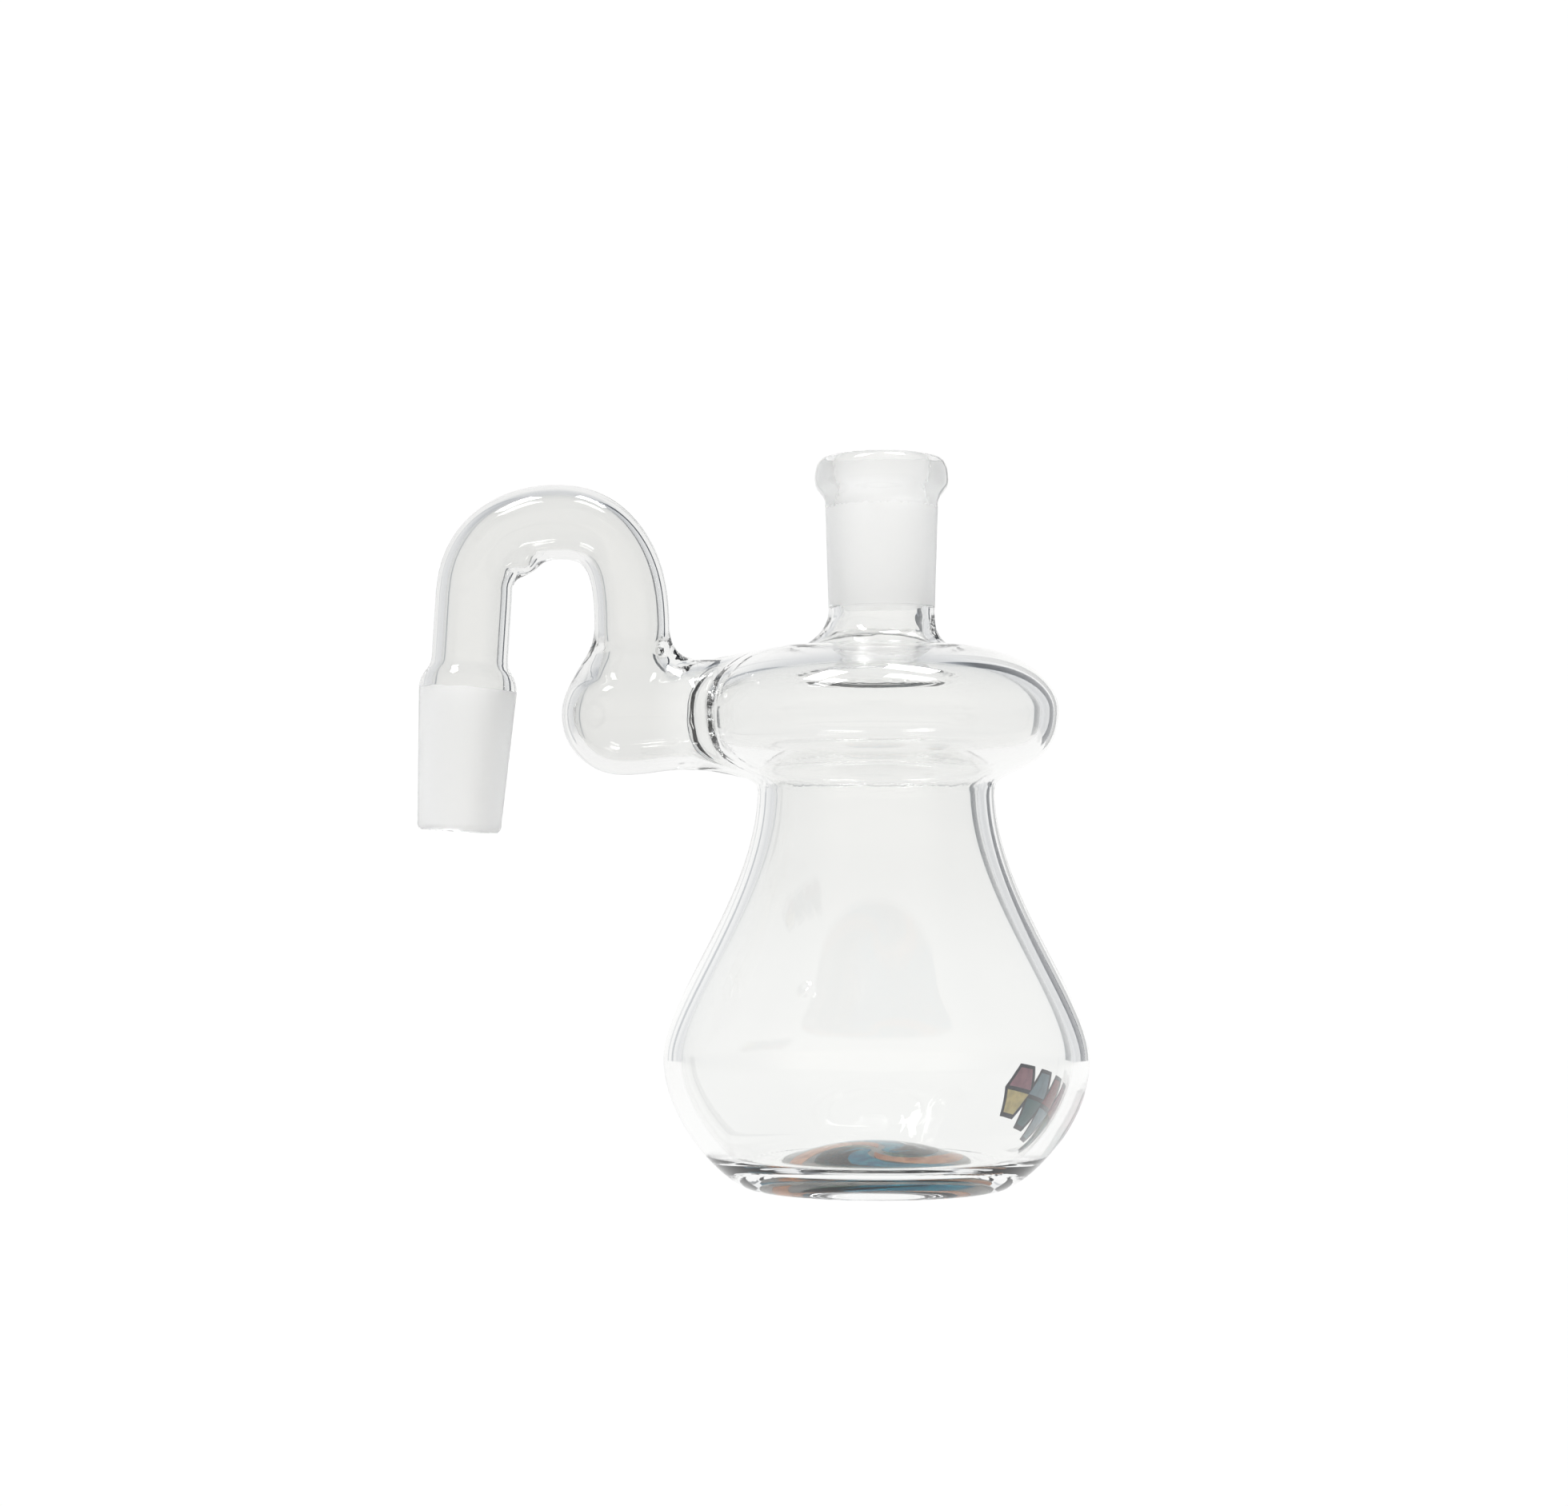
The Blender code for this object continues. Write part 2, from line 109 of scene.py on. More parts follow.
class GlassSizes(bpy.types.PropertyGroup):
    """The sizes of the fused glass."""

    belly_radius: length("Belly Radius", BELLY_RADIUS, "Widest radius of the pear chamber")
    disc_radius: length("Disc Radius", DISC_RADIUS, "Radius of the disc chamber's rim")
    neck_radius: length("Neck Radius", 17.6, "Radius of the neck between the chambers")
    foot_radius: length("Foot Radius", 19.0, "Radius of the flat that the glass stands on")
    floor_height: length("Floor Height", 6.4, "Height of the pear's inner floor at its middle")
    chamber_wall: length("Chamber Wall", 2.5, "Wall of the pear and the disc")
    arm_wall: length("Arm Wall", 2.0, "Wall of the elbow")
    tube_radius: length("Tube Radius", TUBE_RADIUS, "Outer radius of the bent tube")
    tube_wall: length("Tube Wall", 1.4, "Wall of the bent tube")
    joint_diameter: length("Joint Diameter", 14.5, "Wide end of both ground joints")
    weld_fillet: length("Weld Fillet", 3.0, "How far the glass flows into a corner at a weld")
    grid_step: length("Mesh Step", 0.8, "Length of the mesh's edges")


class GlassFinish(bpy.types.PropertyGroup):
    """Colours and roughness of the glass; its upper and arm tones are painted shade."""

    tint: colour("Tint", (0.952, 0.955, 0.947), "Colour of the clear glass in the chambers")
    # Painted shade: a darker tone of the same glass above the pear's belly, standing in for its greyer
    # shading.
    upper_painted_shade: colour("Upper Tint", (0.915, 0.917, 0.908), "Colour of the clear glass above the neck")
    # Painted shade: a darker tone of the same glass in the elbow and bent tube, standing in for their greyer
    # shading.
    arm_painted_shade: colour("Arm Tint", (0.875, 0.876, 0.866), "Colour of the clear glass in the bent tube")
    ground_tint: colour("Ground Tint", (0.97, 0.97, 0.965), "Colour of the ground joints")
    ground_roughness: number("Ground Roughness", 0.65, "Roughness of a ground joint")
    ior: number("Refractive Index", 1.47, "Refractive index of borosilicate glass")


class StudioLook(bpy.types.PropertyGroup):
    """Floor, backdrop and lights."""

    floor_reach: length("Floor Reach", 290.0, "How far the floor runs behind the object")
    floor_colour: colour("Floor Colour", (1.0, 1.0, 1.0), "Colour of the floor")
    floor_glow: number("Floor Glow", 1.015, "Brightness of the floor")
    floor_edge: number("Floor Edge", 0.86, "Brightness at the floor's sides, as a share of its middle")
    side_light: number("Side Light", 0.80, "Brightness of the studio's sides")
    front_light: number("Front Light", 1.55, "Brightness behind the camera, as a share of the sides'")
    ceiling_light: number("Ceiling Light", 0.72, "Brightness overhead, as a share of the walls'")
    lens: number("Lens", 66.9, "Focal length in millimetres")


# ---------------------------------------------------------------- outlines


def cubic(start, start_handle, end_handle, end, steps=60):
    """Points on one cubic curve, with both ends."""
    t = np.linspace(0.0, 1.0, steps + 1)[:, None]
    s = 1 - t
    corners = [np.array(c, float) for c in (start, start_handle, end_handle, end)]
    return s**3 * corners[0] + 3 * s * s * t * corners[1] + 3 * s * t * t * corners[2] + t**3 * corners[3]


def joined(*stretches):
    """One outline from stretches that meet end to end."""
    points = np.concatenate([np.atleast_2d(np.array(s, float)) for s in stretches])
    keep = np.concatenate([[True], np.linalg.norm(np.diff(points, axis=0), axis=1) > 1e-4])
    return points[keep]


def resampled(points, spacing):
    """The outline with points at equal spacing."""
    run = np.concatenate([[0.0], np.cumsum(np.linalg.norm(np.diff(points, axis=0), axis=1))])
    at = np.linspace(0.0, run[-1], max(int(run[-1] / spacing), 2) + 1)
    return np.stack([np.interp(at, run, points[:, i]) for i in range(points.shape[1])], axis=1)


def inset(points, depth):
    """The outline moved inwards by depth, for one that runs down its outer side."""
    along = np.gradient(points, axis=0)
    along /= np.linalg.norm(along, axis=1)[:, None]
    return points + np.stack([along[:, 1], -along[:, 0]], axis=1) * np.reshape(depth, (-1, 1))


class Vessel:
    """The turned outlines of socket, disc, pear and foot, as (radius, height)."""

    BELLY_Z = 18.9  # height of the pear's widest place
    UNDERSIDE = 11.8  # neck to the disc's widest place
    CROWN = 9.2  # from there to the stub's foot
    SHANK_WALL = 1.8
    LIP_REACH = 2.75
    LIP_HEIGHT = 7.0
    STUB_FLARE = 4.1
    TROUGH_SHARE = 0.66  # where the inner floor is lowest, as a share of its radius
    DOME_RISE = 2.6

    def __init__(self, sizes):
        self.neck = sizes.neck_radius / MM
        self.disc = sizes.disc_radius / MM
        self.belly = sizes.belly_radius / MM
        self.foot = sizes.foot_radius / MM
        self.wall = sizes.chamber_wall / MM
        self.floor = sizes.floor_height / MM
        self.mouth = sizes.joint_diameter / MM / 2
        self.rim_z = NECK_Z + self.UNDERSIDE
        self.crown_z = self.rim_z + self.CROWN
        self.socket_bore = self.mouth - (MOUTH_Z - SOCKET_Z) / 20
        self.socket_radius = self.socket_bore + self.SHANK_WALL
        self.stub_foot = (self.socket_radius + self.STUB_FLARE, self.crown_z)
        self.chambers = self.chamber_side()

    def chamber_side(self):
        """The outer side of disc, pear and foot, from the top down."""
        width = self.disc - self.stub_foot[0]
        crown = cubic(
            self.stub_foot,
            (self.stub_foot[0] + 0.556 * width, self.crown_z + 0.093 * self.CROWN),
            (self.disc, self.rim_z + 0.527 * self.CROWN),
            (self.disc, self.rim_z),
        )
        underside = cubic(
            (self.disc, self.rim_z),
            (self.disc, self.rim_z - 0.86 * self.UNDERSIDE),
            (self.neck, NECK_Z + 0.314 * self.UNDERSIDE),
            (self.neck, NECK_Z),
        )
        flank_height = NECK_Z - self.BELLY_Z
        flank = cubic(
            (self.neck, NECK_Z),
            (self.neck, NECK_Z - 0.388 * flank_height),
            (self.belly, self.BELLY_Z + 0.232 * flank_height),
            (self.belly, self.BELLY_Z),
        )
        foot_width = self.belly - self.foot
        foot = cubic(
            (self.belly, self.BELLY_Z),
            (self.belly, self.BELLY_Z * 0.53),
            (self.foot + 0.314 * foot_width, self.BELLY_Z * 0.049),
            (self.foot, 0.0),
        )
        return joined(crown, underside, flank, foot)

    def outside(self):
        mouth, lip = self.mouth, self.mouth + self.LIP_REACH
        shank = (self.socket_radius + 0.5, MOUTH_Z - self.LIP_HEIGHT)
        lip_edge = (lip, MOUTH_Z - self.LIP_HEIGHT / 2)
        over = cubic((mouth + 0.6, MOUTH_Z), (lip - 0.6, MOUTH_Z + 0.05), (lip, MOUTH_Z - 1.2), lip_edge)
        under = cubic(lip_edge, (lip, MOUTH_Z - 5.0), (shank[0], MOUTH_Z - 5.6), shank)
        stub = cubic(
            (self.socket_radius, SOCKET_Z),
            (self.socket_radius, SOCKET_Z - 3.2),
            (self.socket_radius + 1.7, self.crown_z + 0.9),
            self.stub_foot,
        )
        return joined([(0.0, MOUTH_Z)], over, under, stub, self.chambers, [(0.0, 0.0)])

    def hollow(self):
        """The cavity's outline, open through the mouth."""
        above = MOUTH_Z + 8
        mouth = [(0.0, above), (self.mouth + 0.4, above), (self.mouth, MOUTH_Z)]
        inner = inset(resampled(self.chambers, 0.2), self.wall)
        inner = inner[inner[:, 1] > self.floor]
        stub = cubic(
            (self.socket_bore, SOCKET_Z),
            (self.socket_bore, SOCKET_Z - 4.0),
            (self.socket_bore + 2.0, inner[0][1] + 0.5),
            inner[0],
        )
        edge = inner[-1]
        along = inner[-1] - inner[-4]
        trough = (edge[0] * self.TROUGH_SHARE, self.floor - self.DOME_RISE)
        bowl = cubic(edge, edge + along * 4, (trough[0] + 4.0, trough[1]), trough)
        dome = cubic(trough, (trough[0] - 4.0, trough[1]), (9.0, self.floor), (0.0, self.floor))
        return joined(mouth, stub, inner, bowl, dome)


class Cone:
    """The turned outlines of the male cone and its stub, as (radius, distance above the tip)."""

    LENGTH = 21.2
    STUB = 5.0
    TUBE = 12.0  # how much of the tube above the stub belongs to the outline
    WALL = 1.7

    def __init__(self, sizes):
        self.tube = sizes.tube_radius / MM
        self.tube_bore = self.tube - sizes.tube_wall / MM
        self.top = sizes.joint_diameter / MM / 2
        self.tip = self.top - self.LENGTH / 20

    def from_tube(self, tube, top):
        """The axis, the tube and the stub, down to the cone's wide end."""
        end, middle = self.LENGTH + self.STUB, self.LENGTH + self.STUB / 2
        stub = cubic((tube, end), (tube, middle), (top, middle), (top, self.LENGTH))
        return joined([(0.0, end + self.TUBE), (tube, end + self.TUBE)], stub)

    def outside(self):
        tip = self.tip
        rounded = cubic((tip, 0.9), (tip - 0.05, 0.3), (tip - 0.4, 0.0), (tip - 1.0, 0.0))
        return joined(self.from_tube(self.tube, self.top), rounded, [(0.0, 0.0)])

    def hollow(self):
        low = self.tip - self.WALL
        bore = self.from_tube(self.tube_bore, self.top - self.WALL)
        return joined(bore, [(low, 0.0), (low, -8.0), (0.0, -8.0)])


# ---------------------------------------------------------------- distance fields


class Plane:
    """A smooth table of distances over a plane, read between its points with cubic weights."""

    STEP = 0.25

    def __init__(self, low, high, distance):
        self.low = np.array(low, float)
        counts = [int(math.ceil((b - a) / self.STEP)) + 1 for a, b in zip(low, high)]
        u, v = np.meshgrid(*[self.low[i] + self.STEP * np.arange(counts[i]) for i in range(2)], indexing="ij")
        self.table = distance(u.ravel(), v.ravel()).reshape(u.shape)

    @staticmethod
    def weights(t):
        return (
            -0.5 * t + t * t - 0.5 * t**3,
            1 - 2.5 * t * t + 1.5 * t**3,
            0.5 * t + 2 * t * t - 1.5 * t**3,
            -0.5 * t * t + 0.5 * t**3,
        )

    def at(self, u, v):
        rows, columns = self.table.shape
        x = np.clip((u - self.low[0]) / self.STEP, 1.0, rows - 3.001)
        y = np.clip((v - self.low[1]) / self.STEP, 1.0, columns - 3.001)
        i, j = x.astype(int), y.astype(int)
        along, across = self.weights(x - i), self.weights(y - j)
        flat = self.table.ravel()
        total = 0.0
        for a in range(4):
            row = sum(across[b] * flat[(i + a - 1) * columns + j + b - 1] for b in range(4))
            total = total + along[a] * row
        return total


def to_segments(points, start, end):
    """Distance from each point to the nearest of the segments, with that segment's index and share."""
    best = np.full(len(points), 1e9)
    nearest = np.zeros(len(points), int)
    share = np.zeros(len(points))
    for first in range(0, len(points), 4096):
        block = points[first : first + 4096]
        run = end - start
        offset = block[:, None, :] - start[None]
        t = np.clip((offset * run).sum(-1) / np.maximum((run * run).sum(-1), 1e-12), 0, 1)
        gap = offset - t[..., None] * run
        square = (gap * gap).sum(-1)
        index = square.argmin(1)
        picked = np.arange(len(block)), index
        best[first : first + 4096] = np.sqrt(square[picked])
        nearest[first : first + 4096] = index
        share[first : first + 4096] = t[picked]
    return best, nearest, share


def turned_field(outline, low, high):
    """The signed distance to a turned body, negative inside, over (radius, height)."""
    fine = resampled(outline, 0.12)

    def distance(u, v):
        points = np.stack([np.abs(u) + 1e-5, v], axis=1)
        on_wall = (fine[:-1, 0] > 1e-3) | (fine[1:, 0] > 1e-3)
        gap, _, _ = to_segments(points, fine[:-1][on_wall], fine[1:][on_wall])
        ring = np.concatenate([fine, fine[:1]])
        inside = np.zeros(len(points), bool)
        for a, b in zip(ring[:-1], ring[1:]):
            if a[1] == b[1]:
                continue
            crosses = (a[1] > points[:, 1]) != (b[1] > points[:, 1])
            reach = a[0] + (points[:, 1] - a[1]) * (b[0] - a[0]) / (b[1] - a[1])
            inside ^= crosses & (points[:, 0] < reach)
        return np.where(inside, -gap, gap)

    return Plane(low, high, distance)


def soft_min(a, b, k):
    h = np.clip(0.5 + 0.5 * (b - a) / k, 0.0, 1.0)
    return b + (a - b) * h - k * h * (1 - h)


def soft_max(a, b, k):
    return -soft_min(-a, -b, k)


def smooth_step(low, high, value):
    t = np.clip((value - low) / (high - low), 0.0, 1.0)
    return t * t * (3 - 2 * t)


class Arm:
    """The side arm: a round-ended bar, the bent tube and the cone on its leaning leg."""

    LEAN = math.radians(3.4)
    BAR_RADIUS = 8.2
    BAR_DROP = 0.6  # the bar's axis is this far under the disc's widest place
    SWELLING = 0.7  # how much wider the bar's round end is
    RISER_GAP = 9.2  # from the disc's rim to the riser's axis
    APEX_REACH = 10.9  # from the riser's axis to the top of the bend
    LEG_REACH = 24.1  # from the riser's axis to the leg's end
    LEG_DROP = 20.0
    CONE_END = 36.0  # above this height the cone's outline is left

    def __init__(self, sizes):
        self.tube = sizes.tube_radius / MM
        self.bore = self.tube - sizes.tube_wall / MM
        self.wall = sizes.arm_wall / MM
        self.axis_z = NECK_Z + Vessel.UNDERSIDE - self.BAR_DROP
        self.riser_x = -(DISC_RADIUS + self.RISER_GAP)
        self.bulb_x = self.riser_x - 1.5
        self.down = np.array((-math.sin(self.LEAN), -math.cos(self.LEAN)))
        self.leg_end = np.array((self.riser_x - self.LEG_REACH, APEX_Z - self.LEG_DROP))
        self.tip = self.leg_end + self.down * (Cone.STUB + Cone.LENGTH)
        path = self.path()
        self.start, self.end = path[0], path[-1]
        self.plane = self.path_plane(path)
        cone = Cone(sizes)
        self.cone_out = turned_field(cone.outside(), (-1.5, -4.0), (11.0, 40.0))
        self.cone_in = turned_field(cone.hollow(), (-1.5, -9.0), (11.0, 40.0))

    def path(self):
        start = np.array((self.riser_x, self.axis_z))
        rise_start = np.array((self.riser_x, RISER_TOP_Z))
        apex = np.array((self.riser_x - self.APEX_REACH, APEX_Z))
        shoulder = self.leg_end - self.down * 10.0
        rise = APEX_Z - RISER_TOP_Z
        spread = self.LEG_REACH - self.APEX_REACH
        up = cubic(rise_start, rise_start + (0, rise * 0.55), apex + (self.APEX_REACH * 0.85, 0), apex)
        over = cubic(apex, apex - (spread * 0.72, 0), shoulder - self.down * 4.0, shoulder)
        return resampled(joined([start], up, over, [self.leg_end]), 0.1)

    def path_plane(self, path):
        """Signed distance from the centreline in its own plane, smooth across the line."""

        def distance(u, v):
            points = np.stack([u, v], axis=1)
            gap, index, share = to_segments(points, path[:-1], path[1:])
            run = path[index + 1] - path[index]
            offset = points - path[index]
            side = run[:, 0] * offset[:, 1] - run[:, 1] * offset[:, 0]
            run_length = np.linalg.norm(run, axis=1)
            past = (index == 0) & (share <= 0) | (index == len(path) - 2) & (share >= 1)
            return np.where(past, side / run_length, np.sign(side) * gap)

        return Plane((-75.0, 55.0), (-20.0, 112.0), distance)

    def to_tube(self, x, y, z):
        across = self.plane.at(x, z)
        below = np.maximum(self.start[1] - z, 0.0)
        past = np.maximum((x - self.end[0]) * self.down[0] + (z - self.end[1]) * self.down[1], 0.0)
        return np.sqrt(across**2 + y * y + below**2 + past**2)

    def to_bar(self, x, y, z):
        """Distance to the bar's axis, and the share of the bulb's swelling there."""
        reach = np.maximum(self.bulb_x - x, 0.0)
        inward = np.maximum(x + 16.0, 0.0)
        swell = 1 - smooth_step(self.bulb_x + 1.0, self.bulb_x + 9.0, x)
        return np.sqrt((z - self.axis_z) ** 2 + y * y + reach**2 + inward**2), swell

    def to_cone(self, cone, x, y, z):
        above = -((x - self.tip[0]) * self.down[0] + (z - self.tip[1]) * self.down[1])
        side = (x - self.tip[0]) * -self.down[1] + (z - self.tip[1]) * self.down[0]
        return cone.at(np.sqrt(side**2 + y * y), above) + np.maximum(above - self.CONE_END, 0.0)

    def stretched(self, x, z):
        """How much thinner the bent tube is where the flame stretched it."""
        return 0.6 * np.exp(-((x - self.riser_x) ** 2 + (z - APEX_Z + 1.0) ** 2) / 60.0)

    def gathered(self, x, y, z):
        """Distance to the middle of the glass that gathered inside the bend."""
        return np.sqrt((x - self.riser_x + 16.3) ** 2 + (y * 0.8) ** 2 + (z - APEX_Z + 5.6) ** 2)

    def skin(self, x, y, z, bar_radius, tube_radius, gather, branch, cone):
        """One skin of the arm, outer or inner, from its radii and how softly the branch blends."""
        bar, swell = self.to_bar(x, y, z)
        elbow = bar - (bar_radius + self.SWELLING * swell)
        tube = self.to_tube(x, y, z) - tube_radius + self.stretched(x, z)
        tube = soft_min(tube, self.gathered(x, y, z) - gather, 2.5)
        return soft_min(soft_min(elbow, tube, branch), self.to_cone(cone, x, y, z), 0.3)

    def outside(self, x, y, z):
        return self.skin(x, y, z, self.BAR_RADIUS, self.tube, 2.0, 5.0, self.cone_out)

    def hollow(self, x, y, z):
        return self.skin(x, y, z, self.BAR_RADIUS - self.wall, self.bore, 0.7, 3.0, self.cone_in)


class FusedGlass:
    """The whole glass as one distance field, negative inside the glass."""

    def __init__(self, sizes):
        vessel = Vessel(sizes)
        self.fillet = sizes.weld_fillet / MM
        self.crown_z = vessel.crown_z
        self.vessel_out = turned_field(vessel.outside(), (-1.5, -4.0), (40.0, MOUTH_Z + 5))
        self.vessel_in = turned_field(vessel.hollow(), (-1.5, -4.0), (40.0, MOUTH_Z + 9))
        self.arm = Arm(sizes)

    def __call__(self, points):
        x, y, z = points.T
        shift = SOCKET_X * smooth_step(self.crown_z - 1.0, SOCKET_Z, z)
        radius = np.sqrt((x - shift) ** 2 + y * y)
        out = soft_min(self.vessel_out.at(radius, z), self.arm.outside(x, y, z), self.fillet)
        hollow = soft_min(self.vessel_in.at(radius, z), self.arm.hollow(x, y, z), 1.5)
        return soft_max(out, -hollow, 0.5)

    def slope(self, points, step=0.3):
        parts = []
        for axis in range(3):
            nudge = np.zeros(3)
            nudge[axis] = step
            parts.append((self(points + nudge) - self(points - nudge)) / (2 * step))
        return np.stack(parts, axis=1)


def surface_net(field, low, high, step):
    """A closed quad mesh where the field is zero, with its points on the surface."""
    counts = np.ceil((np.array(high) - low) / step).astype(int) + 1
    axes = [low[i] + step * np.arange(counts[i]) for i in range(3)]
    values = np.empty(counts)
    for i, x in enumerate(axes[0]):
        y, z = np.meshgrid(axes[1], axes[2], indexing="ij")
        points = np.stack([np.full(y.size, x), y.ravel(), z.ravel()], axis=1)
        values[i] = field(points).reshape(y.shape)
    cells = counts - 1
    total = np.zeros((cells.prod(), 3))
    hits = np.zeros(cells.prod())
    quads = []
    for axis in range(3):
        second, third = (axis + 1) % 3, (axis + 2) % 3
        near = [slice(None)] * 3
        far = [slice(None)] * 3
        near[axis], far[axis] = slice(None, -1), slice(1, None)
        a, b = values[tuple(near)], values[tuple(far)]
        crossing = (a < 0) != (b < 0)
        place = np.argwhere(crossing)
        a, b = a[crossing], b[crossing]
        inner = ((place[:, second] > 0) & (place[:, second] < cells[second])
                 & (place[:, third] > 0) & (place[:, third] < cells[third]))
        place, a, b = place[inner], a[inner], b[inner]
        point = place.astype(float)
        point[:, axis] += a / (a - b)
        ring = []
        for du, dv in ((-1, -1), (0, -1), (0, 0), (-1, 0)):
            cell = place.copy()
            cell[:, second] += du
            cell[:, third] += dv
            index = (cell[:, 0] * cells[1] + cell[:, 1]) * cells[2] + cell[:, 2]
            np.add.at(total, index, point)
            np.add.at(hits, index, 1.0)
            ring.append(index)
        quad = np.stack(ring, axis=1)
        quads.append(np.where((a < 0)[:, None], quad, quad[:, ::-1]))
    used = np.flatnonzero(hits)
    label = np.full(len(hits), -1)
    label[used] = np.arange(len(used))
    points = total[used] / hits[used, None] * step + low
    faces = label[np.concatenate(quads)]
    for _ in range(4):
        slope = field.slope(points)
        shift = field(points)[:, None] * slope / np.maximum((slope * slope).sum(1), 0.2)[:, None]
        points = points - np.clip(shift, -0.5 * step, 0.5 * step)
    return points, faces, field.slope(points)


# ---------------------------------------------------------------- materials


def shader_tree(name):
    """A fresh node material, its tree, and its main shader."""
    made = bpy.data.materials.new(name)
    made.use_nodes = True
    tree = made.node_tree
    return made, tree, tree.nodes["Principled BSDF"]


class Nodes:
    """Short ways to add and link shader or geometry nodes."""

    def __init__(self, tree):
        self.tree = tree

    def add(self, kind, links=None, **settings):
        node = self.tree.nodes.new(kind)
        for key, value in settings.items():
            setattr(node, key, value)
        for socket, value in (links or {}).items():
            self.feed(node.inputs[socket], value)
        return node

    def feed(self, socket, value):
        if isinstance(value, bpy.types.NodeSocket):
            self.tree.links.new(value, socket)
        else:
            socket.default_value = value

    def math(self, operation, *values, clamp=False):
        node = self.add("ShaderNodeMath", operation=operation, use_clamp=clamp)
        for socket, value in zip(node.inputs, values):
            self.feed(socket, value)
        return node.outputs[0]

    def ramp(self, value, low, high, to_low=0.0, to_high=1.0):
        """A smooth step from one value to another."""
        node = self.add("ShaderNodeMapRange", interpolation_type="SMOOTHSTEP")
        for socket, number in zip(node.inputs, (value, low, high, to_low, to_high)):
            self.feed(socket, number)
        return node.outputs[0]

    def blend(self, factor, first, second):
        """A colour between two, by a factor."""
        node = self.add("ShaderNodeMix", data_type="RGBA")
        for index, value in ((0, factor), (6, first), (7, second)):
            plain = index and not isinstance(value, bpy.types.NodeSocket)
            self.feed(node.inputs[index], (*value, 1.0) if plain else value)
        return node.outputs[2]

    def within(self, value, low, high, soft):
        """One between low and high, falling to zero over a soft edge."""
        rise = self.ramp(value, low - soft, low + soft)
        fall = self.ramp(value, high - soft, high + soft, 1.0, 0.0)
        return self.math("MULTIPLY", rise, fall)


